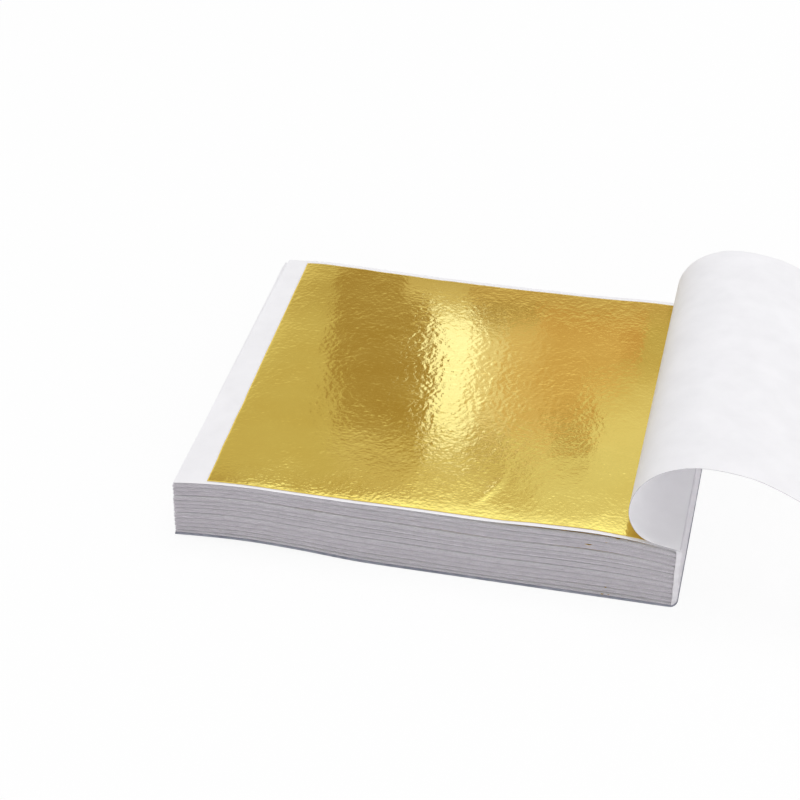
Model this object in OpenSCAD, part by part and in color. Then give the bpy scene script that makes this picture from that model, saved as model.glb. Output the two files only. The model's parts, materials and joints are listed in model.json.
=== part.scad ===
// A booklet of metal leaf for gilding. Thin metal leaves lie between interleaves,
// which are glued into a pad along the spine on a thin backing card. The first
// interleaf is turned back over the spine and curls down to the table, so that
// the first leaf lies open on the sheet below it.
// The origin is the middle of the pad's underside. X runs from the fore edge to
// the spine, Y from the front to the back and Z up.

/* [Leaves] */
// Width of a leaf, from the fore edge side to the spine side
leaf_w = 85; // [70:0.5:110]
// Depth of a leaf, from the front to the back
leaf_d = 82.5; // [60:0.5:120]
// Thickness that stands for a leaf
leaf_t = 0.01; // [0.005:0.005:0.03]
// Number of leaves in a full booklet
leaf_count = 100; // [40:10:120]
// Slant of the open leaf's two sides, in degrees
leaf_slant = 1.5; // [0:0.1:2]
// How far the leaves inside the pad lie out of line
leaf_scatter = 0.4; // [0:0.05:0.6]

/* [Interleaves] */
// Thickness of an interleaf
sheet_t = 0.08; // [0.04:0.01:0.15]
// Strip of interleaf that the leaf leaves bare at the fore edge
fore_margin = 5.4; // [3:0.1:10]
// Strip of interleaf between the leaf and the spine
spine_margin = 3.6; // [2.5:0.1:10]
// Strip of interleaf that the leaf leaves bare at the front and at the back
side_margin = 0.75; // [0.65:0.05:5]
// How far the interleaves lie out of line at the front and the fore edge
sheet_jog = 0.15; // [0:0.01:0.3]

/* [Pad] */
// Air between the sheets at the fore edge, all gaps together
air_fore = 2.1; // [1.2:0.1:4]
// Air between the sheets over the shoulder, all gaps together
air_shoulder = 2.7; // [1.2:0.1:4]
// Air between the sheets in the middle, all gaps together
air_middle = 3.3; // [1.2:0.1:4]
// Air between the sheets where they swell before the spine, all gaps together
air_swell = 5; // [4:0.1:6]
// Air between the sheets at the spine, all gaps together
air_spine = 3.35; // [2.5:0.05:4]
// Distance of the shoulder from the fore edge
shoulder_x = 14; // [8:1:20]
// Distance of the middle's lowest line from the fore edge
middle_x = 36; // [25:1:45]
// Distance of the swell from the spine
swell_run = 14; // [12:0.5:18]
// Thickness of the backing card
card_t = 0.35; // [0.2:0.05:1]
// Height of the card's fore edge above the table
lift_fore = 0.4; // [0:0.05:1]
// Height of the card's arch above the table
lift_arch = 1.1; // [0:0.05:2]
// Distance of the arch's top from the fore edge
arch_x = 15; // [8:1:20]
// Distance from the fore edge at which the card meets the table
rest_x = 40; // [25:1:45]
// Thickness of the glue film on the spine
glue_t = 0.35; // [0.2:0.05:0.8]
// How far the glue film wraps round the pad's corners
glue_wrap = 0.9; // [0.4:0.1:2]

/* [Turned sheet] */
// Hem that stays down on the pad at the front, measured from the spine
hem_front = 3; // [2:0.1:4]
// Hem that stays down on the pad at the back, measured from the spine
hem_back = 10.5; // [9:0.1:11]
// Distance from the spine at which the creases no longer fan out
fan_end = 11.6; // [11.2:0.1:14]
// Length over which the curl opens out
curl_fade = 19.5; // [16:0.1:20]
// How soon the curl opens out after the hem
curl_shape = 0.78; // [0.75:0.01:0.9]
// Number of creases that stand for the curl
crease_count = 6; // [5:1:8]
// How much more the creases near the hem turn than those near the free edge
crease_grading = 0.4; // [0:0.05:0.5]
// Gap between two strips of the turned sheet
crease_gap = 0.03; // [0.02:0.01:0.06]
// Height at which the free edge comes to rest above the table
land_z = 0.15; // [0.05:0.05:1]

/* [Fit] */
// Clearance of the open leaf over the sheet that carries it
leaf_clear = 0.04; // [0.02:0.01:0.1]
// Clearance of the turned sheet's hem over the pad
hem_clear = 0.12; // [0.08:0.01:0.3]
// Clearance of the glue film's wrap round the sheets
glue_clear = 0.03; // [0.01:0.01:0.1]

/* [Hidden] */
sheet_w = fore_margin + leaf_w + spine_margin;
sheet_d = leaf_d + 2 * side_margin;
swell_x = sheet_w - swell_run;

// Stations across the pad, closer together near the fore edge and the spine
slices = 12;
stations = [for (k = [0 : slices]) sheet_w / 2 * (1 - cos(180 * k / slices))];

// Interleaves and leaves are numbered from the top. Interleaf 1 is the turned
// sheet and leaf 1 lies open, and each leaf lies on the interleaf after it. In
// the pad's height they count from the underside, where interleaf 0 is the last.
stack_size = 9;
stack_count = ceil((leaf_count - 1) / stack_size);
gap_count = 2 * leaf_count - 1;
step_t = sheet_t + leaf_t;
golden = 137.5;

function mix(a, b, t) = a + (b - a) * t;
function ease(t) = (1 - cos(180 * t)) / 2;

// Underside of the card above the table, and all the air in the pad above it
function lift(x) =
    x < arch_x ? mix(lift_fore, lift_arch, sin(90 * x / arch_x))
    : x < rest_x ? mix(lift_arch, 0, ease((x - arch_x) / (rest_x - arch_x)))
    : 0;
function air(x) =
    x < shoulder_x ? mix(air_fore, air_shoulder, sin(90 * x / shoulder_x))
    : x < middle_x
        ? mix(air_shoulder, air_middle, ease((x - shoulder_x) / (middle_x - shoulder_x)))
    : x < swell_x
        ? mix(air_middle, air_swell, ease((x - middle_x) / (swell_x - middle_x)))
    : mix(air_swell, air_spine, 1 - cos(90 * (x - swell_x) / swell_run));

// Between two stations all sheets run straight, so that none cuts the next one
lift_line = [for (x = stations) [x, lift(x)]];
air_line = [for (x = stations) [x, air(x)]];

// Height in the pad at x, over so much paper and metal and so many gaps
function pad_z(x, solid, gaps) =
    lookup(x, lift_line) + card_t + solid + lookup(x, air_line) * gaps / gap_count;
function sheet_z(x, level) = pad_z(x, level * step_t, 2 * level + 1);
function leaf_z(x, level) = pad_z(x, level * step_t + sheet_t, 2 * level + 2);
function pad_top(x) = sheet_z(x, leaf_count - 1) + sheet_t;

// The turned sheet is drawn flat, with x falling from the spine, and then turned
// up about one crease after another. Each crease takes its share of the whole turn
// and lies where the curl has come to the middle of that share. At the back the
// first creases lie close together, where the paper is folded sharply.
bind_z = pad_top(sheet_w) + hem_clear + sheet_t / 2;
hem_rise = atan((air_swell - air_spine) * PI / 2 / swell_run);
function turned_after(i) =
    let (t = i / crease_count) t * (1 + crease_grading * (1 - t));
function crease_share(i) = turned_after(i) - turned_after(i - 1);
function crease_front(i) =
    let (turned = mix(turned_after(i - 1), turned_after(i), 0.5))
    hem_front + curl_fade * pow(-ln(1 - turned), curl_shape);
function crease_back(i) =
    let (u = crease_front(i))
    u < fan_end ? mix(hem_back, fan_end, (u - hem_front) / (fan_end - hem_front)) : u;

// Matrix that turns a point through an angle about the line from p towards q
function turn_about(p, q, angle) =
    let (
        u = (q - p) / norm(q - p),
        cross_u = [[0, -u[2], u[1]], [u[2], 0, -u[0]], [-u[1], u[0], 0]],
        turn = [for (i = [0 : 2]) [for (j = [0 : 2])
            u[i] * u[j] * (1 - cos(angle)) + (i == j ? cos(angle) : 0)
            + cross_u[i][j] * sin(angle)]],
        shift = p - turn * p
    )
    [for (i = [0 : 3]) i < 3 ? concat(turn[i], [shift[i]]) : [0, 0, 0, 1]];

function crease_turn(i, whole) = turn_about(
    [sheet_w - crease_front(i), 0, 0], [sheet_w - crease_back(i), sheet_d, 0],
    whole * crease_share(i));
function strip_place(i, whole) =
    i == 0
        ? turn_about([sheet_w, 0, 0], [sheet_w, 1, 0], hem_rise)
        : strip_place(i - 1, whole) * crease_turn(i, whole);

// The curl turns on until the corner of its free edge lies on the table. The span
// in which its whole turn lies is halved again and again.
least_turn = 150;
most_turn = 250;
halvings = 40;
function free_edge_z(whole) =
    bind_z + (strip_place(crease_count, whole) * [0, sheet_d, 0, 1])[2];
function landing(low, high, tries) =
    let (whole = mix(low, high, 0.5))
    tries == 0 ? whole
    : free_edge_z(whole) > land_z ? landing(whole, high, tries - 1)
    : landing(low, whole, tries - 1);
whole_turn = landing(least_turn, most_turn, halvings);

// A number in at least so many digits
function digits(n, count) =
    count == 1 || n >= pow(10, count - 1) ? str(n) : str(0, digits(n, count - 1));
function span_name(what, first, last) =
    str(what, "_", digits(first, 3), "_to_", digits(last, 3));
function first_interleaf(s) = 3 + s * stack_size;
function last_interleaf(s) = min(leaf_count + 1, first_interleaf(s) + stack_size - 1);
function first_leaf(s) = 2 + s * stack_size;
function last_leaf(s) = min(leaf_count, first_leaf(s) + stack_size - 1);
function interleaves_name(s) = span_name("interleaves", first_interleaf(s), last_interleaf(s));
function leaves_name(s) = span_name("leaves", first_leaf(s), last_leaf(s));
function strip_name(i) = str("turned_sheet_strip_", i);

paper = [0.93, 0.92, 0.94];
metal = [0.83, 0.66, 0.27];

// Moves what is drawn from the pad's front corner at the fore edge to its place
module placed() translate([-sheet_w / 2, -sheet_d / 2, 0]) children();

// A wavy sheet from the height z at each of its stations, t thick
module wavy(at, z, t, y, depth) {
    under = [for (k = [0 : len(at) - 1]) [at[k], z[k]]];
    over = [for (k = [len(at) - 1 : -1 : 0]) [at[k], z[k] + t]];
    translate([0, y + depth, 0]) rotate([90, 0, 0]) linear_extrude(depth)
        polygon(concat(under, over));
}

function stations_from(x0, x1) =
    concat([x0], [for (x = stations) if (x > x0 + 0.1 && x < x1 - 0.1) x], [x1]);

module backing_card() placed() color([0.55, 0.56, 0.62])
    wavy(stations, [for (x = stations) lift(x)], card_t, 0, sheet_d);

// A film that wraps round the two corners of the spine
module spine_glue() placed() color([0.88, 0.86, 0.88]) {
    inner = sheet_jog + glue_clear;
    outer = inner + glue_t;
    height = bind_z + sheet_t / 2;
    linear_extrude(height) difference() {
        union() {
            translate([sheet_w - glue_wrap, -outer])
                square([glue_wrap, sheet_d + 2 * outer]);
            translate([sheet_w - glue_wrap, -outer + glue_t])
                square([glue_wrap + glue_t, sheet_d + 2 * inner]);
            for (y = [-inner, sheet_d + inner])
                translate([sheet_w, y]) circle(glue_t, $fn = 32);
        }
        translate([sheet_w - glue_wrap - 1, -inner])
            square([glue_wrap + 1, sheet_d + 2 * inner]);
    }
}

// Each interleaf is glued flush at the spine, and jogged by hand elsewhere
module interleaf(number) {
    level = leaf_count + 1 - number;
    fore = sheet_jog * (1 + sin(golden * number));
    at = stations_from(fore, sheet_w);
    wavy(at, [for (x = at) sheet_z(x, level)], sheet_t,
        sheet_jog * cos(golden * number), sheet_d);
}

module leaf(number) {
    level = leaf_count - number;
    fore = fore_margin + leaf_scatter * sin(golden * number);
    at = stations_from(fore, fore + leaf_w);
    wavy(at, [for (x = at) leaf_z(x, level)], leaf_t,
        side_margin + leaf_scatter * cos(golden * number), leaf_d);
}

module top_interleaf() placed() color(paper) interleaf(2);

module interleaves(s) placed() color(paper)
    for (number = [first_interleaf(s) : last_interleaf(s)]) interleaf(number);

module leaves(s) placed() color(metal)
    for (number = [first_leaf(s) : last_leaf(s)]) leaf(number);

// The open leaf lies loose on the top interleaf, with slanting sides
module open_leaf() placed() color(metal) {
    slant = leaf_d * tan(leaf_slant);
    fore = fore_margin + slant / 2;
    at = stations_from(fore - slant, fore + leaf_w);
    intersection() {
        wavy(at, [for (x = at) pad_top(x) + leaf_clear], leaf_t, side_margin, leaf_d);
        translate([0, 0, lift_fore]) linear_extrude(2 * bind_z) polygon([
            [fore, side_margin], [fore + leaf_w, side_margin],
            [fore + leaf_w - slant, side_margin + leaf_d],
            [fore - slant, side_margin + leaf_d]
        ]);
    }
}

// Part of the turned sheet between two lines across it, each given by its
// distance from the spine at the front and at the back
module sheet_part(near, far) translate([0, 0, -sheet_t / 2]) linear_extrude(sheet_t)
    polygon([
        [sheet_w - near[0], 0], [sheet_w - far[0], 0],
        [sheet_w - far[1], sheet_d], [sheet_w - near[1], sheet_d]
    ]);

function crease_line(i, side) =
    [crease_front(i) + side * crease_gap / 2, crease_back(i) + side * crease_gap / 2];

module turned_sheet_hem() placed() color(paper) translate([0, 0, bind_z])
    multmatrix(strip_place(0, whole_turn))
        sheet_part([crease_gap, crease_gap], crease_line(1, -1));

module turned_sheet_strip(i) placed() color(paper) translate([0, 0, bind_z])
    multmatrix(strip_place(i, whole_turn))
        sheet_part(crease_line(i, 1),
            i < crease_count ? crease_line(i + 1, -1) : [sheet_w, sheet_w]);

backing_card();
spine_glue();
top_interleaf();
open_leaf();
turned_sheet_hem();
for (s = [0 : stack_count - 1]) {
    interleaves(s);
    leaves(s);
}
for (i = [1 : crease_count])
    turned_sheet_strip(i);
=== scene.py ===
"""A booklet of metal leaf for gilding, with its first interleaf turned back over the spine.

Lengths are in millimetres until a mesh is made, and x, y and z are those of the CAD frame:
x from the fore edge to the spine, y from the front to the back, z up.
"""
import json
import math

import bpy
import numpy as np
from mathutils import Matrix, Quaternion, Vector


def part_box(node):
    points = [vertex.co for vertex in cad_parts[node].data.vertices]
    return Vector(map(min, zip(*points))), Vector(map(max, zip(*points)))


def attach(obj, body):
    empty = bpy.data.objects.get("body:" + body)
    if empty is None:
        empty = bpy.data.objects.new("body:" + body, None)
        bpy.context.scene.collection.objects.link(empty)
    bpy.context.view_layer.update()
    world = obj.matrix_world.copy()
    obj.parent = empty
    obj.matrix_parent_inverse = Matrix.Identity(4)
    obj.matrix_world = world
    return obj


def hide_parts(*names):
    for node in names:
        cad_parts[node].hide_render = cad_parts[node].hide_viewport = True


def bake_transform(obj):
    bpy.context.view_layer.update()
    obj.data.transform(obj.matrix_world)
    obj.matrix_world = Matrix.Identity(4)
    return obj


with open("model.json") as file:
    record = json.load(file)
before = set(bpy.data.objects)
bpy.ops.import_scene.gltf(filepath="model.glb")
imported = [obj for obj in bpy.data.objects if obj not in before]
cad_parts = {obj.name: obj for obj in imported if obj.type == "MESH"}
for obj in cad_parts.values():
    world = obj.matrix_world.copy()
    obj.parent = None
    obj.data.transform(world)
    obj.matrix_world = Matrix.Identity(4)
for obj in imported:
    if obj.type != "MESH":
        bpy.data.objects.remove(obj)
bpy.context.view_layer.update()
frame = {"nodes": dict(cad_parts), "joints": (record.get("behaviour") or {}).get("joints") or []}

# One millimetre in Blender's metres.
MM = 0.001

# What the CAD nodes say

# Corners of a node that differ less than this in x are at the same station.
SAME_STATION = 0.01


def node_points(node):
    """The corners of a CAD node, in millimetres."""
    return np.array([v.co for v in frame["nodes"][node].data.vertices], float) / MM


def profile(node, side):
    """The line that a wavy CAD sheet follows: its stations, and its height there on one side."""
    points = node_points(node)
    stations = np.unique(points[:, 0].round(3))
    columns = [points[abs(points[:, 0] - x) < SAME_STATION, 2] for x in stations]
    return stations, np.array([c.max() if side == "top" else c.min() for c in columns])


def smooth_line(stations, heights):
    """A curve through the stations without the CAD's corners, as a function of x."""
    steps = np.diff(stations)
    slopes = np.diff(heights) / steps
    middle = (slopes[:-1] * steps[1:] + slopes[1:] * steps[:-1]) / (steps[1:] + steps[:-1])
    tangents = np.concatenate([slopes[:1], middle, slopes[-1:]])

    def line(x):
        x = np.clip(x, stations[0], stations[-1])
        k = np.clip(np.searchsorted(stations, x) - 1, 0, len(steps) - 1)
        h = steps[k]
        t = (x - stations[k]) / h
        return (
            heights[k] * (1 + 2 * t) * (1 - t) ** 2
            + tangents[k] * h * t * (1 - t) ** 2
            + heights[k + 1] * t * t * (3 - 2 * t)
            + tangents[k + 1] * h * t * t * (t - 1)
        )

    return line


# Sizes of the pad

FORE_X, SPINE_X = -47.0, 47.0
FRONT_Y, BACK_Y = -42.0, 42.0
DEPTH = BACK_Y - FRONT_Y
SHEET_T, LEAF_T = 0.08, 0.01
# The sheets that lie in the pad, the top one among them.
SHEET_COUNT = 100
STEP_T = SHEET_T + LEAF_T
# How far the sheets lie out of line.
JOG = 0.15
# From one sheet to the next the jog turns on by this angle, so that it doesn't repeat.
GOLDEN = math.radians(137.5)

# How far the paper lies below the CAD's even wave, along the front and along the back.
FRONT_SETTLED = np.array([
    (-47, -0.60), (-34, -0.50), (-24, -0.45), (-14, -0.75), (-5, -0.92),
    (3, -0.66), (11, -0.20), (22, -0.05), (36, 0.0), (47, 0.0),
])
BACK_SETTLED = np.array([
    (-47, 0.10), (-38, 0.42), (-30, 0.85), (-20, 0.86), (-9, 0.78), (0, 0.92),
    (10, 1.38), (20, 1.80), (30, 1.80), (40, 1.45), (47, 1.40),
])
# The uppermost sheets sag a little along the front edge.
FRONT_SAG, SAG_RUN = 0.14, 2.2
# The turned sheet has settled at the back with the pad. Below this height its drop fades,
# because the sheet reaches the table.
PAGE_DROP, PAGE_DROP_FROM = 1.4, 10
# The corners at the spine are worn round, and at the foot more is gone.
CORNER = 1.0
CORNER_DEPTH, FOOT_DEPTH, FOOT_HEIGHT = 0.5, 2.2, 2.5
# Stations round such a corner.
CORNER_X = SPINE_X - CORNER + CORNER * np.sin(np.linspace(0.2, math.pi / 2, 8))

card_bottom = smooth_line(*profile("backing_card", "bottom"))
card_top = smooth_line(*profile("backing_card", "top"))
pad_top_line = smooth_line(*profile("top_interleaf", "top"))
front_settled = smooth_line(*FRONT_SETTLED.T)
back_settled = smooth_line(*BACK_SETTLED.T)


def drop(x, y):
    """How much the pad's top has settled at a place."""
    share = (y - FRONT_Y) / DEPTH
    settled = (1 - share) * front_settled(x) + share * back_settled(x)
    return settled + FRONT_SAG * np.exp(-(y - FRONT_Y) / SAG_RUN)


def pad_top(x, y):
    """The height of the pad's top."""
    return pad_top_line(x) - drop(x, y)


def page_drop_at(y):
    """How much the turned sheet has settled along the spine."""
    return PAGE_DROP * (y - FRONT_Y) / DEPTH


def page_drop(points):
    """How much the turned sheet has settled at each point."""
    return page_drop_at(points[..., 1]) * np.clip(points[..., 2] / PAGE_DROP_FROM, 0, 1)


# Noise and meshes

# The noise repeats after this many cells, and is read this many cells from where it starts.
NOISE_CELLS, NOISE_START = 256, 400


def noise(x, y, scale, seed):
    """Smooth noise between -1 and 1 that changes over about one scale."""
    table = np.random.default_rng(seed).uniform(-1, 1, (NOISE_CELLS, NOISE_CELLS))
    u = np.asarray(x, float) / scale + NOISE_START
    v = np.asarray(y, float) / scale + NOISE_START
    i, j = np.floor(u).astype(int), np.floor(v).astype(int)
    s, t = u - i, v - j
    s, t = s * s * (3 - 2 * s), t * t * (3 - 2 * t)
    i, j = i % NOISE_CELLS, j % NOISE_CELLS
    i_next, j_next = (i + 1) % NOISE_CELLS, (j + 1) % NOISE_CELLS
    near = table[i, j] * (1 - s) + table[i_next, j] * s
    far = table[i, j_next] * (1 - s) + table[i_next, j_next] * s
    return near * (1 - t) + far * t


def grid_faces(rows, columns, first=0, flip=False):
    """The four-sided faces of a grid of points whose number starts at first."""
    k = first + (np.arange(rows - 1)[:, None] * columns + np.arange(columns - 1)[None, :]).ravel()
    faces = np.stack([k, k + 1, k + columns + 1, k + columns], 1)
    return faces[:, ::-1] if flip else faces


def slab(top, bottom):
    """A closed shell between two grids of points.

    Its faces come back in three groups, the top, the underside and the edges."""
    rows, columns, _ = top.shape
    size = rows * columns
    index = np.arange(size).reshape(rows, columns)
    rim = np.concatenate([index[0, :-1], index[:-1, -1], index[-1, :0:-1], index[:0:-1, 0]])
    points = np.concatenate([top.reshape(-1, 3), bottom.reshape(-1, 3)])
    ahead = np.roll(rim, -1)
    edges = np.stack([rim, rim + size, ahead + size, ahead], 1)
    return points, grid_faces(rows, columns), grid_faces(rows, columns, size, flip=True), edges


def joined(shells):
    """Several closed shells as one set of points and groups of faces."""
    points, groups, first = [], [[] for _ in shells[0][1:]], 0
    for shell in shells:
        points.append(shell[0])
        for group, faces in zip(groups, shell[1:]):
            group.append(faces + first)
        first += len(shell[0])
    return np.concatenate(points), [np.concatenate(g) for g in groups]


def closer_first(share, close, wide):
    """Places from 0 to 1, close together in the first share of the way."""
    return np.concatenate([np.linspace(0, share, close)[:-1], np.linspace(share, 1, wide)])


def new_piece(name, points, face_groups, materials, smooth=True):
    """A mesh object from points in millimetres, with one material for each group of faces."""
    mesh = bpy.data.meshes.new(name)
    faces = [f for group in face_groups for f in group.tolist()]
    mesh.from_pydata((points * MM).tolist(), [], faces)
    slots = []
    for material in materials:
        if material.name not in [m.name for m in mesh.materials]:
            mesh.materials.append(material)
        slots.append([m.name for m in mesh.materials].index(material.name))
    numbers = np.concatenate([np.full(len(g), s) for g, s in zip(face_groups, slots)])
    mesh.polygons.foreach_set("material_index", numbers.astype(np.int32))
    mesh.polygons.foreach_set("use_smooth", np.full(len(faces), smooth))
    mesh.update()
    piece = bpy.data.objects.new(name, mesh)
    bpy.context.scene.collection.objects.link(piece)
    return piece


def sharpen_rims(piece, rim_slot):
    """Keeps the shading of the cut edges apart from that of the broad sides."""
    mesh = piece.data
    rim = {k for p in mesh.polygons if p.material_index == rim_slot for k in p.edge_keys}
    broad = {k for p in mesh.polygons if p.material_index != rim_slot for k in p.edge_keys}
    shared = rim & broad
    for edge in mesh.edges:
        edge.use_edge_sharp = tuple(sorted(edge.vertices)) in shared


def dress(piece, body, slot, *nodes):
    """Hangs a piece on a body if one is given, and hides the CAD nodes that it stands for. The slot is
    not used.
    """
    if body:
        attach(piece, body)
    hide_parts(*nodes)


# Materials

# Where on a noise a colour starts and ends its way from the dark tone to the light one.
TONE_STOPS = (0.3, 0.7)


class Nodes:
    """A short way to write a node material."""

    def __init__(self, name):
        self.material = bpy.data.materials.new(name)
        self.material.use_nodes = True
        self.tree = self.material.node_tree
        self.shader = self.tree.nodes["Principled BSDF"]

    def add(self, kind, inputs=None, **settings):
        node = self.tree.nodes.new(kind)
        for key, value in settings.items():
            setattr(node, key, value)
        for key, value in (inputs or {}).items():
            if isinstance(value, bpy.types.NodeSocket):
                self.tree.links.new(value, node.inputs[key])
            else:
                node.inputs[key].default_value = value
        return node

    def place(self):
        return self.add("ShaderNodeTexCoord").outputs["Object"]

    def noise(self, scale, detail=2.0, stretch=(1, 1, 1), roughness=0.5):
        mapping = self.add("ShaderNodeMapping", {"Vector": self.place(), "Scale": stretch})
        inputs = {
            "Vector": mapping.outputs["Vector"], "Scale": scale,
            "Detail": detail, "Roughness": roughness,
        }
        return self.add("ShaderNodeTexNoise", inputs).outputs["Fac"]

    def tones(self, factor, dark, light):
        node = self.add("ShaderNodeValToRGB", {"Fac": factor})
        for element, position, color in zip(node.color_ramp.elements, TONE_STOPS, (dark, light)):
            element.position = position
            element.color = (*color, 1)
        return node.outputs["Color"]

    def bump(self, height, strength, distance, normal=None):
        inputs = {"Height": height, "Strength": strength, "Distance": distance}
        if normal is not None:
            inputs["Normal"] = normal
        return self.add("ShaderNodeBump", inputs).outputs["Normal"]

    def finish(self, links=None, **values):
        for key, value in values.items():
            self.shader.inputs[key.replace("_", " ")].default_value = value
        for key, socket in (links or {}).items():
            self.tree.links.new(socket, self.shader.inputs[key])
        return self.material


def paper_material():
    """Smooth thin paper, a little mottled, with fine fibres."""
    n = Nodes("interleaf_paper")
    mottle = n.noise(scale=140, detail=4, roughness=0.6)
    color = n.tones(mottle, dark=(0.835, 0.825, 0.845), light=(0.885, 0.875, 0.895))
    fibres = n.noise(scale=1400, detail=3, stretch=(1, 2.5, 1))
    relief = n.bump(fibres, strength=0.25, distance=0.00003)
    relief = n.bump(mottle, strength=0.3, distance=0.0001, normal=relief)
    return n.finish({"Base Color": color, "Normal": relief}, Roughness=0.82)


def paper_edge_material():
    """The cut edge of a sheet, where the fibres are open, in a grey much darker than the paper as
    painted shade for the gaps between the sheets.
    """
    n = Nodes("paper_edge_painted_shade")
    grain = n.noise(scale=500, detail=3, stretch=(1, 1, 6))
    # These tones are painted shade: the cut edges are darkened to stand for the shade in the gaps of
    # the stack.
    color = n.tones(grain, dark=(0.40, 0.37, 0.41), light=(0.53, 0.495, 0.54))
    return n.finish({"Base Color": color}, Roughness=0.9)


def leaf_material():
    """Beaten metal: mirror-like, with the fine crinkle of a foil that has been laid down."""
    n = Nodes("metal_leaf")
    tone = n.noise(scale=45, detail=4, roughness=0.6)
    color = n.tones(tone, dark=(0.86, 0.61, 0.115), light=(0.90, 0.67, 0.145))
    dull = n.noise(scale=90, detail=3)
    limits = {"Value": dull, "To Min": 0.07, "To Max": 0.15}
    roughness = n.add("ShaderNodeMapRange", limits).outputs["Result"]
    peel = n.noise(scale=1400)
    fine = n.noise(scale=3200)
    relief = n.bump(peel, strength=0.5, distance=0.00006)
    relief = n.bump(fine, strength=0.5, distance=0.00001, normal=relief)
    links = {"Base Color": color, "Roughness": roughness, "Normal": relief}
    return n.finish(links, Metallic=1.0)


def card_painted_shade_material():
    """Grey board with a bluish cast and short fibres, its own grey darkened as painted shade for the
    dark line along the pad's foot.
    """
    n = Nodes("backing_card")
    fibres = n.noise(scale=700, detail=4, stretch=(1, 1, 3))
    # These tones are darker than board as painted shade for the line along the pad's foot.
    color = n.tones(fibres, dark=(0.20, 0.21, 0.26), light=(0.34, 0.35, 0.41))
    relief = n.bump(fibres, strength=0.4, distance=0.00005)
    return n.finish({"Base Color": color, "Normal": relief}, Roughness=0.85)


def glue_material():
    """A brushed film of padding glue, milky and a little glossy."""
    n = Nodes("padding_glue")
    strokes = n.noise(scale=260, detail=3, stretch=(1, 1, 3))
    color = n.tones(strokes, dark=(0.66, 0.64, 0.675), light=(0.74, 0.72, 0.755))
    relief = n.bump(strokes, strength=0.4, distance=0.0001)
    return n.finish({"Base Color": color, "Normal": relief}, Roughness=0.55)


PAPER = paper_material()
SHADED_PAPER_EDGE = paper_edge_material()
LEAF = leaf_material()
CARD = card_painted_shade_material()
GLUE = glue_material()

# How the air lies in the pad

# The sheets lie in clumps that cling together, with wider gaps between the clumps. On a clump's
# lowest sheet lie at least MATES_LEAST more, and fewer than MATES_LIMIT. The first clump is small.
MATES_LEAST, MATES_LIMIT = 5, 10
FIRST_CLUMP = 4
# The weight of a gap in a clump, of the one under a clump and of the one under the top sheet.
TIGHT_GAP, WIDE_GAP, TOP_GAP = 0.18, (1.6, 2.6), 4.6
# Some wide gaps are wider still.
WIDER_CHANCE, WIDER = 0.25, 1.7
# Along x a gap's weight goes up and down in a wave of this length and depth.
WAVE_LENGTH, WAVE_DEPTH = (25, 70), (0.1, 0.4)
# The length, the start and the depth of the wave under the top sheet.
TOP_WAVE = (110.0, -0.14, 0.85)
GAP_SEED, CLUMP_SEED = 11, 5


def gap_weights():
    """For each gap under a sheet, from the card up: its weight, its wave along x, its clump."""
    rng = np.random.default_rng(GAP_SEED)
    weights, waves, clumps = [], [], []
    left, clump = FIRST_CLUMP, 0
    for _ in range(SHEET_COUNT):
        left -= 1
        if left < 0:
            left = int(rng.integers(MATES_LEAST, MATES_LIMIT))
            clump += 1
            weights.append(rng.uniform(*WIDE_GAP) * (WIDER if rng.random() < WIDER_CHANCE else 1.0))
        else:
            weights.append(TIGHT_GAP)
        waves.append((rng.uniform(*WAVE_LENGTH), rng.uniform(0, 2 * math.pi), rng.uniform(*WAVE_DEPTH)))
        clumps.append(clump)
    weights[-1], waves[-1] = TOP_GAP, TOP_WAVE
    return np.array(weights), waves, np.array(clumps)


GAP_WEIGHT, GAP_WAVE, CLUMP = gap_weights()
CLUMP_JOG = np.random.default_rng(CLUMP_SEED).uniform(-0.5, 0.5, max(CLUMP) + 1)


def air_share(x):
    """The part of all the air that lies under each sheet at x, as rows of one sheet each."""
    rows = [
        weight * (1 + depth * np.sin(2 * math.pi * x / length + phase))
        for weight, (length, phase, depth) in zip(GAP_WEIGHT, GAP_WAVE)
    ]
    total = np.cumsum(rows, axis=0)
    return total / total[-1]


def sheet_underside(level, x, y):
    """The height of a sheet's underside. Level 0 lies on the card."""
    share = air_share(x)[level]
    paper = SHEET_COUNT * SHEET_T + (SHEET_COUNT - 1) * LEAF_T
    air = pad_top(x, y) - card_top(x) - paper
    return card_top(x) + level * STEP_T + air * share


# The sheets and leaves inside the pad

# How far the outer sheets of a clump stand back behind its middle ones.
CLUMP_BULGE = 0.28
# How far the sheets have slipped out at the back of the fore edge. A part of that is the same
# for all clumps, and a part differs from one to the next.
FAN, FAN_EVEN, FAN_UNEVEN, FAN_STEP = 1.7, 0.7, 0.3, 0.9
# How far a sheet and a clump lie out of line along y, as shares of the jog.
SHEET_LIE, CLUMP_LIE = 0.12, 2.2
# Over this length the glue holds the sheets in line, but for this share.
GLUED_RUN, GLUED_LOOSE = 8.0, 0.1
# How much the front and the back edge of a sheet waver, and over what length.
WAVER, WAVER_RUN = 0.008, 9
# A sheet's stations along x, and how much they crowd towards its ends.
SHEET_COLUMNS, CROWDING = 56, 0.35


def corner_depth(z):
    """How far a corner at the spine is worn back altogether at a height."""
    low = np.clip(1 - z / FOOT_HEIGHT, 0, 1)
    return CORNER_DEPTH + (FOOT_DEPTH - CORNER_DEPTH) * low * low


def rounding(x, z):
    """How far a corner at the spine is worn back at x."""
    t = np.clip((x - SPINE_X + CORNER) / CORNER, 0, 1)
    return corner_depth(z) * (1 - np.sqrt(1 - t * t))


def bulge(level):
    """How far a sheet stands back because the clump that it is in is round-edged."""
    mates = np.flatnonzero(CLUMP == CLUMP[level])
    place = (level - mates[0] + 0.5) / len(mates)
    return CLUMP_BULGE * (2 * place - 1) ** 2


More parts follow.
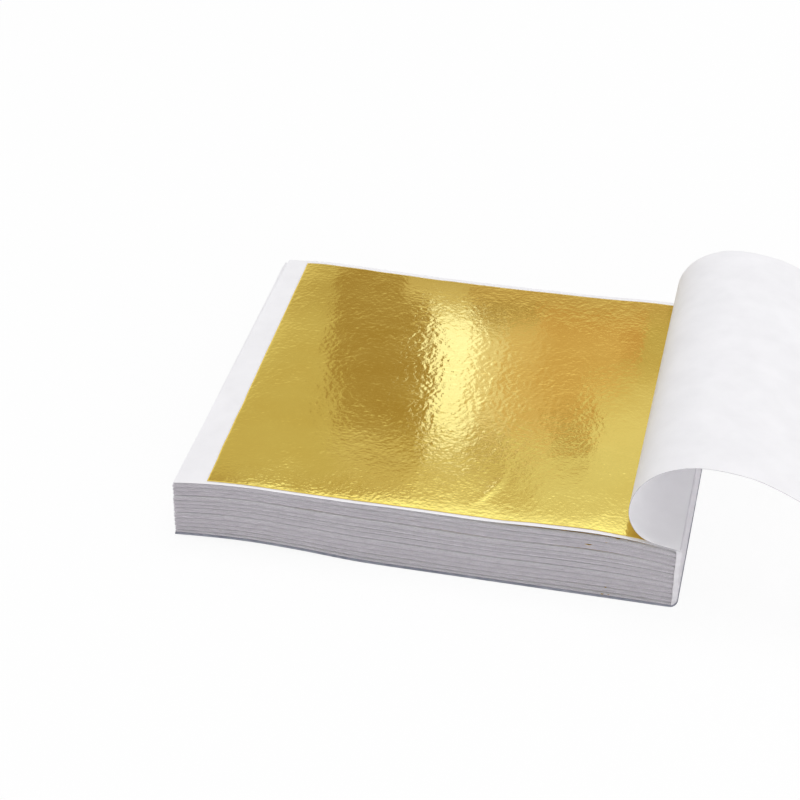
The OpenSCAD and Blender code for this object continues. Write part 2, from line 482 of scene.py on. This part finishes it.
def sheet_shell(number):
    """One sheet inside the pad, between its front edge and its back edge."""
    level = SHEET_COUNT + 1 - number
    clump = CLUMP[level]
    crowded = (1 - np.cos(np.linspace(0, math.pi, SHEET_COLUMNS))) / 2
    along = CROWDING * crowded + (1 - CROWDING) * np.linspace(0, 1, SHEET_COLUMNS)
    fore = FORE_X + JOG * (1 + math.sin(GOLDEN * number))
    fan = FAN * (FAN_EVEN + FAN_UNEVEN * math.sin(FAN_STEP * clump))
    lie = JOG * (SHEET_LIE * math.cos(GOLDEN * number) + CLUMP_LIE * CLUMP_JOG[clump])
    rows = []
    for y, inward, seed, edge in (
        (FRONT_Y, 1, 100 + number, fore),
        (BACK_Y, -1, 300 + number, fore - fan),
    ):
        x = np.concatenate([edge + (SPINE_X - CORNER - edge) * along, CORNER_X])
        loose = np.clip((SPINE_X - x) / GLUED_RUN, GLUED_LOOSE, 1)
        y = y + inward * bulge(level) + lie * loose + WAVER * noise(x, 0 * x, WAVER_RUN, seed)
        y = y + inward * rounding(x, sheet_underside(level, x, y))
        rows.append(np.stack([x, y, sheet_underside(level, x, y)], 1))
    under = np.array(rows)
    return slab(under + [0, 0, SHEET_T], under)


# A leaf's fore edge and width, its front edge and depth, and how far the leaves lie out of line.
LEAF_FORE, LEAF_W = FORE_X + 5.4, 85.0
LEAF_FRONT, LEAF_D = FRONT_Y + 0.75, 82.5
LEAF_SCATTER = 0.2
LEAF_COLUMNS = 150
# The gap between a leaf inside the pad and the paper.
LEAF_GAP = 0.001
# Where the leaves have torn and show between the sheets.
FLECKS_X, FLECKS_RUN = 33.0, 3.0
# A fleck is where a noise of this scale passes this level. What passes it counts up to
# FLECK_MOST, and the leaf reaches out FLECK_OUT times as far.
FLECK_SCALE, FLECK_LEVEL, FLECK_MOST, FLECK_OUT = 0.7, 0.80, 0.1, 7


def leaf_shell(number):
    """One leaf inside the pad, with torn edges that reach the sheets' edges here and there."""
    level = SHEET_COUNT - number
    fore = LEAF_FORE + LEAF_SCATTER * math.sin(GOLDEN * number)
    x = np.linspace(fore, fore + LEAF_W, LEAF_COLUMNS)
    lie = LEAF_SCATTER * math.cos(GOLDEN * number)
    rows = []
    for y, outward in ((LEAF_FRONT, -1), (LEAF_FRONT + LEAF_D, 1)):
        torn = noise(x, 0 * x, FLECK_SCALE, seed=900 + 2 * number + outward)
        torn = np.clip(torn - FLECK_LEVEL, 0, FLECK_MOST)
        torn = torn * np.exp(-((x - FLECKS_X) / FLECKS_RUN) ** 2)
        y = y + lie + outward * FLECK_OUT * torn
        z = sheet_underside(level, x, y) + SHEET_T + LEAF_GAP
        rows.append(np.stack([x, y, z], 1))
    under = np.array(rows)
    return slab(under + [0, 0, LEAF_T - 2 * LEAF_GAP], under)


def numbers_in(node):
    """The first and the last number that a node of stacked sheets has in its name."""
    parts = node.split("_")
    return int(parts[1]), int(parts[3])


def build_stacks(stack, kind, make_shell, materials, slot):
    """A piece for each CAD node of stacked sheets or leaves, with a closed shell for each one."""
    for node in [n for n in frame["nodes"] if n.startswith(f"{stack}_")]:
        first, last = numbers_in(node)
        points, groups = joined([make_shell(number) for number in range(first, last + 1)])
        piece = new_piece(f"{kind}_{node}", points, groups, materials, smooth=False)
        dress(piece, "pad", slot, node)


# The top sheet and the card

# The top sheet's fore edge stands in a little and askew, and wavers over a share of its depth.
TOP_IN, TOP_ASKEW, TOP_WAVER, TOP_WAVER_RUN = 0.1, -0.1, 0.1, 0.23
# It reaches further back than the others, and its front edge wavers.
TOP_BEHIND, TOP_FRONT_WAVER, TOP_FRONT_RUN = 0.45, 0.06, 12
# It lifts along its fore edge over this length, fully from this share of the depth on.
TOP_LIFT, TOP_LIFT_RUN, TOP_LIFT_FROM = 0.16, 1.2, 0.25
# A height above the worn foot, for the corners of what lies on top.
ABOVE_FOOT = 10


def build_top_sheet():
    """The sheet under the open leaf, whose margins show."""
    columns = closer_first(share=0.05, close=12, wide=140)
    rows = closer_first(share=0.09, close=14, wide=56)
    s, t = np.meshgrid(columns, rows)
    fore = FORE_X + TOP_IN + TOP_ASKEW * t + TOP_WAVER * noise(0 * t, t, TOP_WAVER_RUN, seed=41)
    gx = fore + (SPINE_X - fore) * s
    worn = rounding(gx, ABOVE_FOOT)
    front = FRONT_Y + worn + TOP_FRONT_WAVER * noise(gx, 0 * gx, TOP_FRONT_RUN, seed=42)
    gy = front + (BACK_Y + TOP_BEHIND - worn - front) * t
    lifted = TOP_LIFT * np.exp(-(gx - fore) / TOP_LIFT_RUN) * np.clip(t / TOP_LIFT_FROM, 0, 1)
    top = np.stack([gx, gy, pad_top(gx, gy) + lifted], 2)
    points, *groups = slab(top, top - [0, 0, SHEET_T])
    piece = new_piece("top_sheet", points, groups, [PAPER, PAPER, SHADED_PAPER_EDGE])
    sharpen_rims(piece, rim_slot=1)
    dress(piece, "pad", "interleaf_paper", "top_interleaf")


# How far the card stands out at the spine, where the film's foot ends in its edge. Its dark edge there
# paints a shade line along the spine's foot.
CARD_OUT = 0.4
CARD_COLUMNS, CARD_ROWS = 90, 30


def build_card():
    """The board under the pad, which follows the solids' wave."""
    x = np.linspace(FORE_X, SPINE_X - CORNER, CARD_COLUMNS)
    gx, t = np.meshgrid(np.concatenate([x[:-1], CORNER_X]), np.linspace(-1, 1, CARD_ROWS))
    gy = t * (BACK_Y - rounding(gx, 0))
    gx = gx + CARD_OUT * np.clip((gx - SPINE_X + CORNER) / CORNER, 0, 1)
    top = np.stack([gx, gy, card_top(gx)], 2)
    under = np.stack([gx, gy, card_bottom(gx)], 2)
    points, *groups = slab(top, under)
    piece = new_piece("card_board", points, groups, [CARD, CARD, CARD])
    dress(piece, "pad", "backing_card", "backing_card")


# The glue film on the spine

# Its thickness on the spine, and where it ends on the front and the back.
FILM_T, FILM_END_T = 0.33, 0.02
# Its foot ends in the card's edge, a little below the card's top. At the top it bends over the
# hem of the turned sheet and into it.
FILM_FOOT, FILM_OVER, FILM_LAP, FILM_SINK = 0.30, 0.03, 0.50, 0.05
# How many levels it is drawn at on the way up, and in its bend.
FILM_LEVELS, FILM_BEND_LEVELS = 30, 7
# The part of a corner's turn that it leaves bare, and how near to the corners it is straight.
FILM_START, FILM_STRAIGHT = math.radians(20), 3.5
FILM_CORNER_COLUMNS, FILM_SIDE_COLUMNS = 12, 40
# Half the depth of its brush strokes, and how wide they are.
STROKE, STROKE_RUN = 0.06, 1.3


def film_line(z, share):
    """A line of the film in plan, round both corners, at a height and a share of its thickness."""
    depth = corner_depth(z)
    line = []
    for angle in np.linspace(FILM_START, math.pi / 2, FILM_CORNER_COLUMNS):
        t = (angle - FILM_START) / (math.pi / 2 - FILM_START)
        reach = share * (FILM_END_T + (FILM_T - FILM_END_T) * t)
        x = SPINE_X - CORNER * (1 - math.sin(angle)) + reach * math.sin(angle)
        y = FRONT_Y + depth * (1 - math.cos(angle)) - reach * math.cos(angle)
        line.append((x, y))
    straight = np.linspace(FRONT_Y + FILM_STRAIGHT, BACK_Y - FILM_STRAIGHT, FILM_SIDE_COLUMNS)
    side = [(SPINE_X + share * FILM_T, y) for y in straight]
    return np.array(line + side + [(x, -y) for x, y in line[::-1]])


def build_glue():
    """The film on the spine, thin where it ends on the front and the back."""
    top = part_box("spine_glue")[1].z / MM + FILM_OVER
    bend = np.linspace(0, math.pi / 2, FILM_BEND_LEVELS)[1:]
    upright = np.linspace(FILM_FOOT, top - FILM_T, FILM_LEVELS)
    levels = np.r_[upright, top - FILM_T * (1 - np.sin(bend)), top - FILM_SINK]
    inward = np.r_[0 * upright, FILM_T * (1 - np.cos(bend)), FILM_LAP]
    faces = []
    for share in (1.0, 0.0):
        lines = np.array([film_line(z, share) for z in levels]).transpose(1, 0, 2)
        x, y = lines[..., 0], lines[..., 1]
        z = levels[None, :] - page_drop_at(y) * levels[None, :] / top
        x = x - share * STROKE * (1 + noise(y, z, STROKE_RUN, seed=71)) - inward
        faces.append(np.stack([x, y, z - (1 - share) * FILM_SINK], 2))
    points, *groups = slab(*faces)
    piece = new_piece("glue_film", points, groups, [GLUE, GLUE, GLUE])
    dress(piece, "pad", "padding_glue", "spine_glue")


# The open leaf

# It lies a little turned on the pad. LEAF_HEIGHT parts it from the paper, and LEAF_LIFT makes
# room for the hollows of its crinkle.
LEAF_SLANT = math.radians(1.5)
LEAF_HEIGHT, LEAF_LIFT = 0.05, 0.04
# The spacing of its points, which is fine enough for the crinkle.
LEAF_STEP = 0.24
# How much its edges waver, over what length, and how far from the edge that ends.
RIM_WAVER, RIM_RUN, RIM_BAND = 0.10, 5, 3
# Towards the hem of the turned sheet it is pressed flat, from this x on and over this length.
PRESSED_X, PRESSED_RUN, PRESSED = 32, 5, 0.7
# The foil's relief, from wide to narrow: the height of its waves and ridges, and their scale.
SWELL, SWELL_RUN = 0.030, 9
RIPPLE, RIPPLE_RUN = 0.014, 3.1
RIDGE, RIDGE_RUN = 0.032, 1.15
FINE_RIDGE, FINE_RIDGE_RUN = 0.017, 0.75
# The two slanting ways that ripples and ridges are measured along, and how far fine ridges are
# drawn out along x and y.
SLANT_U, SLANT_V, FINE_STRETCH = (0.95, -0.45), (0.75, 0.60), (1.15, 0.75)
# The ridges are highest in one patch, and this share as high far away from it.
PATCH_X, PATCH_WIDTH = -4, 34
PATCH_Y, PATCH_DEPTH = 8, 30
OUTSIDE_PATCH = 0.3
# One longer fold: its place, which way it lies, its height, half width, half length and bend.
FOLD_X, FOLD_Y = 11.2, -32.8
FOLD_COS, FOLD_SIN = 0.933, 0.36
FOLD_HEIGHT, FOLD_WIDTH, FOLD_LENGTH, FOLD_BEND = 0.06, 0.9, 5.0, 0.02


def crinkle(x, y):
    """The fine relief of the foil, whose ridges run every way."""
    u, v = SLANT_U[0] * x + SLANT_U[1] * y, SLANT_V[0] * x + SLANT_V[1] * y
    fine_x, fine_y = FINE_STRETCH[0] * x, FINE_STRETCH[1] * y
    patch = np.exp(-(((x - PATCH_X) / PATCH_WIDTH) ** 2) - ((y - PATCH_Y) / PATCH_DEPTH) ** 2)
    much = OUTSIDE_PATCH + (1 - OUTSIDE_PATCH) * patch
    ridges = RIDGE * abs(noise(u, v, RIDGE_RUN, seed=32))
    ridges = ridges + FINE_RIDGE * abs(noise(fine_x, fine_y, FINE_RIDGE_RUN, seed=33))
    soft = SWELL * noise(x, y, SWELL_RUN, seed=31) + RIPPLE * noise(v, u, RIPPLE_RUN, seed=34)
    across = FOLD_COS * (x - FOLD_X) - FOLD_SIN * (y - FOLD_Y)
    down = FOLD_SIN * (x - FOLD_X) + FOLD_COS * (y - FOLD_Y)
    bent = (across + FOLD_BEND * down * down) / FOLD_WIDTH
    fold = FOLD_HEIGHT * np.exp(-(bent ** 2) - (down / FOLD_LENGTH) ** 2)
    return soft + fold + much * ridges


def build_open_leaf():
    """The leaf on top, in a fine grid that carries its crinkle."""
    columns, rows = int(LEAF_W / LEAF_STEP), int(LEAF_D / LEAF_STEP)
    u, v = np.meshgrid(np.linspace(0, 1, columns), np.linspace(0, 1, rows))
    slant = LEAF_D * math.tan(LEAF_SLANT)
    y = LEAF_FRONT + LEAF_D * v
    x = LEAF_FORE + slant / 2 + LEAF_W * u - slant * v
    rim_x, rim_y = np.minimum(u, 1 - u) * LEAF_W, np.minimum(v, 1 - v) * LEAF_D
    x = x + RIM_WAVER * noise(y, x, RIM_RUN, seed=21) * np.clip(1 - rim_x / RIM_BAND, 0, 1)
    y = y + RIM_WAVER * noise(x, y, RIM_RUN, seed=22) * np.clip(1 - rim_y / RIM_BAND, 0, 1)
    pressed = PRESSED * np.clip((x - PRESSED_X) / PRESSED_RUN, 0, 1)
    z = pad_top(x, y) + LEAF_HEIGHT + (LEAF_LIFT + crinkle(x, y)) * (1 - pressed)
    top = np.stack([x, y, z], 2)
    points, *groups = slab(top, top - [0, 0, LEAF_T])
    piece = new_piece("open_metal_leaf", points, groups, [LEAF, LEAF, LEAF])
    dress(piece, "loose_leaf", "metal_leaf", "open_leaf")


# The turned sheet

# Steps from row to row in a piece's bend, in the hem before the first and in the end after the last.
BEND_ROWS, HEM_ROWS, END_ROWS = 22, 8, 14
# Points in a row, from the front to the back.
ACROSS = 40
# How far the sheet's edges have moved along x, and at what distances from the spine along the
# sheet that starts, is most and ends. The curl stands a little steeper at the back than the flat
# strips do, and at the front it leaves the pad in a closer bend.
BACK_SHIFT = (1.0, 4.0, 14.0, 44.0)
FRONT_SHIFT = (-0.40, 2.5, 6.5, 18.0)
# A blend ends where its piece does, but no further from the crease than BLEND_MOST times as far
# as the piece's nearer end, or than BLEND_LEAST if that is more.
BLEND_MOST, BLEND_LEAST = 1.6, 2.2
# How much a blend may lean along its crease, and in how many steps all round it is looked for.
BLEND_LEANS = np.linspace(-0.1, 0.1, 21)
BLEND_TURNS = 360


def unit(v):
    return v / np.linalg.norm(v)


def side_ends(node, at_front):
    """The two ends of a flat node's edge, at the front or at the back."""
    points = node_points(node)
    side = points[(points[:, 1] < 0) == at_front]
    spread = side - side.mean(0)
    reach = spread @ np.linalg.svd(spread, full_matrices=False)[2][0]
    return side[reach < 0].mean(0), side[reach > 0].mean(0)


def farther(pair, known):
    """The one of two points that is farther from a known one."""
    return max(pair, key=lambda point: np.linalg.norm(point - known))


def creases():
    """The turned sheet's creases, read from the hem and the strips, and the strips' names.

    Each row holds a crease's end at the front and its end at the back. The first row is the
    edge at the spine, and the last one the free edge."""
    strips = sorted(n for n in frame["nodes"] if n.startswith("turned_sheet_strip_"))
    nodes = ["turned_sheet_hem"] + strips
    flats = [[side_ends(node, at_front) for at_front in (True, False)] for node in nodes]
    rows = [[max(pair, key=lambda point: point[0]) for pair in flats[0]]]
    for pairs in flats:
        rows.append([farther(pair, known) for pair, known in zip(pairs, rows[-1])])
    return np.array(rows), strips


def straight(start, end, count):
    """Points in a straight row from start to end."""
    s = np.linspace(0, 1, count)[:, None]
    return start * (1 - s) + end * s


def curved(start, corner, end, count):
    """Points from start to end on the curve that the corner pulls out."""
    t = np.linspace(0, 1, count)[:, None]
    return (1 - t) ** 2 * start + 2 * t * (1 - t) * corner + t * t * end


def page_edges():
    """The front and the back edge of each piece of the turned sheet, and the strips' names.

    A piece goes from the middle of one strip to the middle of the next, and bends between."""
    rows, strips = creases()
    middles = (rows[:-1] + rows[1:]) / 2
    pieces = []
    for i in range(1, len(rows) - 1):
        edges = []
        for k in (0, 1):
            edge = curved(middles[i - 1][k], rows[i][k], middles[i][k], BEND_ROWS + 1)
            if i == 1:
                edge = np.concatenate([straight(rows[0][k], middles[0][k], HEM_ROWS + 1)[:-1], edge])
            if i == len(rows) - 2:
                edge = np.concatenate([edge, straight(middles[i][k], rows[-1][k], END_ROWS + 1)[1:]])
            edges.append(edge)
        pieces.append(edges)
    return pieces, strips


def page_shift(along, size, start, top, end):
    """How far an edge is moved along x, by its distance from the spine."""
    up = np.clip((along - start) / (top - start), 0, 1)
    down = np.clip((end - along) / (end - top), 0, 1)
    return size * up * up * (3 - 2 * up) * down * down * (3 - 2 * down)


def page_grids(pieces):
    """The points of each piece between its two edges, where the sheet lies after its slip."""
    travelled = [0.0, 0.0]
    v = np.linspace(0, 1, ACROSS)[None, :, None]
    grids = []
    for front, back in pieces:
        grid = front[:, None] * (1 - v) + back[:, None] * v
        sides = (front, FRONT_SHIFT, 1 - v[..., 0]), (back, BACK_SHIFT, v[..., 0])
        for k, (edge, shift, share) in enumerate(sides):
            steps = np.linalg.norm(np.diff(edge, axis=0), axis=1)
            along = travelled[k] + np.r_[0, np.cumsum(steps)]
            travelled[k] = along[-1]
            grid[..., 0] += page_shift(along, *shift)[:, None] * share
        grid[..., 2] -= page_drop(grid)
        grids.append(grid)
    return grids


def page_normals(grids):
    """The whole sheet's normals, as one grid for each piece."""
    whole = np.concatenate([grids[0]] + [g[1:] for g in grids[1:]])
    normals = np.cross(np.gradient(whole, axis=1), np.gradient(whole, axis=0))
    normals /= np.linalg.norm(normals, axis=2, keepdims=True)
    firsts = np.cumsum([0] + [len(g) - 1 for g in grids[:-1]])
    return [normals[first:first + len(g)] for first, g in zip(firsts, grids)]


def blend_planes(pivot, axis, first, last):
    """Two points between a piece's first row and its last one.

    They lie along the direction that parts the two rows most. It may lean along the crease,
    since the sheet has slipped and settled more at the back."""
    level = unit(np.cross(axis, (0, 0, 1)))
    turns = np.linspace(0, 2 * math.pi, BLEND_TURNS, endpoint=False)[:, None]
    ways = np.cos(turns) * level + np.sin(turns) * unit(np.cross(axis, level))
    ways = np.concatenate([ways + lean * axis for lean in BLEND_LEANS])
    ways /= np.linalg.norm(ways, axis=1, keepdims=True)
    behind, ahead = ((first - pivot) @ ways.T).max(0), ((last - pivot) @ ways.T).min(0)
    best = (ahead - behind).argmax()
    way, behind, ahead = ways[best], behind[best], ahead[best]
    reach = max(BLEND_LEAST, BLEND_MOST * min(-behind, ahead))
    return pivot + way * max(behind, -reach), pivot + way * min(ahead, reach)


def set_normals(piece, normals):
    """Gives the broad sides the normals of the whole sheet, so that no seam shows."""
    mesh = piece.data
    loops = np.zeros(len(mesh.loops), int)
    mesh.loops.foreach_get("vertex_index", loops)
    wanted = normals[loops]
    for polygon in mesh.polygons:
        if mesh.materials[polygon.material_index] == SHADED_PAPER_EDGE:
            wanted[list(polygon.loop_indices)] = 0
    mesh.normals_split_custom_set(wanted.tolist())


def build_page():
    """The turned sheet, a piece for each crease, reaching halfway into the strips on both sides of it.
    """
    pieces, strips = page_edges()
    grids = page_grids(pieces)
    for i, (grid, n, node) in enumerate(zip(grids, page_normals(grids), strips), 1):
        points, *groups = slab(grid + n * SHEET_T / 2, grid - n * SHEET_T / 2)
        piece = new_piece(f"turned_page_{i}", points, groups, [PAPER, PAPER, SHADED_PAPER_EDGE])
        sharpen_rims(piece, rim_slot=1)
        set_normals(piece, np.concatenate([n.reshape(-1, 3), -n.reshape(-1, 3)]))
        joint = frame["joints"][i - 1]
        pivot, axis = np.array(joint["pos_m"]) / MM, np.array(joint["axis"])
        start, end = blend_planes(pivot, axis, grid[HEM_ROWS if i == 1 else 0], grid[-1])
        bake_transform(piece)
        nodes = ["turned_sheet_hem", node] if i == 1 else [node]
        dress(piece, None, "interleaf_paper", *nodes)


# Floor, lamps, surroundings and camera

# Half the floor's side, and how much of what the camera sees of it is plain white.
FLOOR_REACH, FLOOR_WHITE = 3000.0, 0.92


def build_floor():
    """A pale floor that keeps the object's shadow."""
    n = Nodes("floor_sweep")
    color = n.tones(n.noise(scale=3), dark=(0.895, 0.895, 0.895), light=(0.905, 0.905, 0.905))
    n.finish({"Base Color": color}, Roughness=0.9, Specular_IOR_Level=0.0)
    path = n.add("ShaderNodeLightPath").outputs["Is Camera Ray"]
    glow = n.add("ShaderNodeEmission", {"Color": (1, 1, 1, 1), "Strength": 1.0})
    share = n.add("ShaderNodeMath", {0: path, 1: FLOOR_WHITE}, operation="MULTIPLY").outputs[0]
    mixer = n.add("ShaderNodeMixShader", {0: share, 1: n.shader.outputs[0], 2: glow.outputs[0]})
    n.tree.links.new(mixer.outputs[0], n.tree.nodes["Material Output"].inputs["Surface"])
    places = np.linspace(-FLOOR_REACH, FLOOR_REACH, 3)
    gx, gy = np.meshgrid(places, places)
    points = np.stack([gx, gy, 0 * gx], 2).reshape(-1, 3)
    floor = new_piece("floor", points, [grid_faces(3, 3)], [n.material])


# The lamps that light the paper, in metres: their place, what they point at, their size, and
# their radiance. Two are small ones that stand in for light which comes in under the curl.
LAMPS = {
    "key": ((0.10, 0.20, 1.4), (0, 0, 0), (0.9, 0.9), 3.35),
    "fill": ((0.55, -0.90, 0.25), (0.03, 0, 0.01), (0.6, 0.4), 3.7),
    "under_curl": ((0.060, 0.062, 0.010), (0.060, 0, 0.010), (0.028, 0.014), 9.0),
    "beside_spine": ((0.070, 0.0, 0.008), (0.047, 0, 0.008), (0.076, 0.010), 0.85),
}

# Cards behind the pad that show in the metal: their left, right, low and high edges, the angle
# by which they lean, and their brightness. All stand at the same y.
CARD_Y = 80.0
CARDS = {
    "left_card": (-160.0, -45.0, 48.0, 103.0, 0.0, (0.19, 0.25, 0.27)),
    "low_left_card": (-160.0, -45.0, 20.0, 48.0, 0.0, (0.11, 0.15, 0.16)),
    "bright_card": (-23.0, -12.0, 42.0, 79.0, -3.0, (0.80, 1.1, 2.2)),
    "faint_card": (-28.0, -14.0, 34.0, 41.0, 0.0, (0.21, 0.25, 0.34)),
    "half_card": (-12.0, -5.0, 44.0, 75.0, 0.0, (0.42, 0.50, 0.85)),
    "middle_card": (-5.0, 3.0, 42.0, 75.0, 0.0, (0.30, 0.27, 0.36)),
    "inner_card": (3.0, 20.0, 44.0, 57.0, 0.0, (0.25, 0.19, 0.22)),
    "inner_low_card": (3.0, 13.0, 57.0, 69.0, 0.0, (0.25, 0.19, 0.22)),
    "warm_card": (20.0, 27.0, 38.0, 52.0, 0.0, (0.19, 0.10, 0.11)),
    "rim_card": (2.0, 20.0, 38.0, 44.0, 0.0, (0.18, 0.09, 0.09)),
    "low_card": (-14.0, 34.0, 28.0, 38.0, 0.0, (0.12, 0.10, 0.13)),
    "olive_card": (27.0, 90.0, 38.0, 52.0, 0.0, (0.15, 0.19, 0.20)),
    "slope_card": (20.0, 90.0, 52.0, 57.0, 0.0, (0.23, 0.27, 0.31)),
    "low_slope_card": (13.0, 90.0, 57.0, 66.0, 0.0, (0.33, 0.41, 0.55)),
    "low_right_card": (13.0, 90.0, 66.0, 75.0, 0.0, (0.42, 0.55, 0.78)),
    "high_card": (-45.0, -5.0, 81.0, 97.0, 0.0, (0.26, 0.33, 0.42)),
    "high_right_card": (-5.0, 90.0, 75.0, 97.0, 0.0, (0.34, 0.46, 0.64)),
    "front_left_card": (-80.0, -44.0, 112.0, 150.0, 0.0, (0.50, 0.70, 1.1)),
    "front_card": (-44.0, -28.0, 103.0, 150.0, 0.0, (0.55, 0.76, 1.2)),
    "front_right_card": (-28.0, 60.0, 98.0, 150.0, 0.0, (0.55, 0.76, 1.2)),
}


def area_lamp(name, place, target, size, radiance, color=(1, 1, 1), card=False, lean=0.0):
    """A soft lamp of a given size and brightness, which the camera itself doesn't see.

    A card is one that shows in the metal alone. The others don't show in the metal."""
    lamp = bpy.data.lights.new(name, "AREA")
    lamp.shape = "RECTANGLE"
    lamp.size, lamp.size_y = size
    lamp.energy = radiance * math.pi * size[0] * size[1]
    lamp.color = color
    holder = bpy.data.objects.new(name, lamp)
    bpy.context.scene.collection.objects.link(holder)
    holder.location = place
    turn = (Vector(target) - Vector(place)).to_track_quat("-Z", "Y")
    holder.rotation_euler = (turn @ Quaternion((0, 0, 1), math.radians(lean))).to_euler()
    holder.visible_camera = False
    holder.visible_diffuse = not card
    holder.visible_glossy = card


def build_lamps():
    """The lamps for the paper, and the cards for the metal, which face the front."""
    for name, (place, target, size, radiance) in LAMPS.items():
        area_lamp(name, place, target, size, radiance)
    for name, (left, right, low, high, lean, color) in CARDS.items():
        middle = ((left + right) / 2 * MM, CARD_Y * MM, (low + high) / 2 * MM)
        size = ((right - left) * MM, (high - low) * MM)
        area_lamp(name, middle, (middle[0], 0, middle[2]), size, 1.0, color, card=True, lean=lean)


# What the metal and the camera see around the scene, by the upward part of the direction,
# which is 0 at the horizon and 1 straight up.
SURROUNDINGS = [
    (0.30, (1.0, 1.0, 1.0)),
    (0.42, (0.70, 0.68, 0.60)),
    (0.48, (0.41, 0.33, 0.21)),
    (0.60, (0.41, 0.33, 0.21)),
    (0.66, (0.90, 0.95, 1.05)),
    (1.0, (0.90, 0.95, 1.05)),
]
# The even light that falls on everything else.
SKY_LIGHT = 0.60


def build_world():
    """Surroundings for the camera and the metal, and a plain sky that lights the rest."""
    world = bpy.data.worlds.new("studio")
    bpy.context.scene.world = world
    world.use_nodes = True
    tree = world.node_tree
    add, join = tree.nodes.new, tree.links.new
    back = tree.nodes["Background"]
    path, place, parts = (
        add("ShaderNodeLightPath"), add("ShaderNodeTexCoord"), add("ShaderNodeSeparateXYZ")
    )
    seen, seen_too = add("ShaderNodeMath"), add("ShaderNodeMath")
    seen.operation = seen_too.operation = "MAXIMUM"
    join(path.outputs["Is Camera Ray"], seen.inputs[0])
    join(path.outputs["Is Glossy Ray"], seen.inputs[1])
    join(seen.outputs[0], seen_too.inputs[0])
    join(path.outputs["Is Transmission Ray"], seen_too.inputs[1])
    ramp = add("ShaderNodeValToRGB")
    elements = ramp.color_ramp.elements
    while len(elements) < len(SURROUNDINGS):
        elements.new(0.5)
    for element, (height, level) in zip(elements, SURROUNDINGS):
        element.position = height
        element.color = (*level, 1)
    join(place.outputs["Generated"], parts.inputs[0])
    join(parts.outputs["Z"], ramp.inputs[0])
    choice = add("ShaderNodeMix")
    choice.data_type = "RGBA"
    join(seen_too.outputs[0], choice.inputs[0])
    choice.inputs[6].default_value = (SKY_LIGHT, SKY_LIGHT, SKY_LIGHT, 1)
    join(ramp.outputs[0], choice.inputs[7])
    join(choice.outputs[2], back.inputs["Color"])


# The camera, from a fit to the corners of the pad and the leaf in the photograph: where it
# stands, its turn about the upright, its height and its roll in degrees, and its lens.
CAMERA_PLACE = (63.12, -353.10, 251.85)
CAMERA_AZIMUTH, CAMERA_ELEVATION, CAMERA_ROLL = 12.185, 33.978, 0.585
CAMERA_SENSOR, CAMERA_LENS = 36, 98.69


def build_camera():
    """The camera at the photograph's place."""
    azimuth, elevation, roll = (
        math.radians(angle) for angle in (CAMERA_AZIMUTH, CAMERA_ELEVATION, CAMERA_ROLL)
    )
    backward = Vector((
        math.sin(azimuth) * math.cos(elevation),
        -math.cos(azimuth) * math.cos(elevation),
        math.sin(elevation),
    ))
    right = Vector((math.cos(azimuth), math.sin(azimuth), 0))
    up = backward.cross(right)
    turned_right = right * math.cos(roll) + up * math.sin(roll)
    turned_up = up * math.cos(roll) - right * math.sin(roll)
    data = bpy.data.cameras.new("camera")
    data.sensor_width = CAMERA_SENSOR
    data.lens = CAMERA_LENS
    camera = bpy.data.objects.new("camera", data)
    bpy.context.scene.collection.objects.link(camera)
    turn = Matrix((turned_right, turned_up, backward)).transposed()
    camera.matrix_world = Matrix.Translation(Vector(CAMERA_PLACE) * MM) @ turn.to_4x4()
    bpy.context.scene.camera = camera


build_camera()
build_world()
build_floor()
build_lamps()
build_card()
build_stacks("interleaves", "paper", sheet_shell, [PAPER, PAPER, SHADED_PAPER_EDGE], "interleaf_paper")
build_stacks("leaves", "gold", leaf_shell, [LEAF, LEAF, LEAF], "metal_leaf")
build_top_sheet()
build_glue()
build_open_leaf()
build_page()

bpy.context.scene.view_settings.view_transform = "Standard"
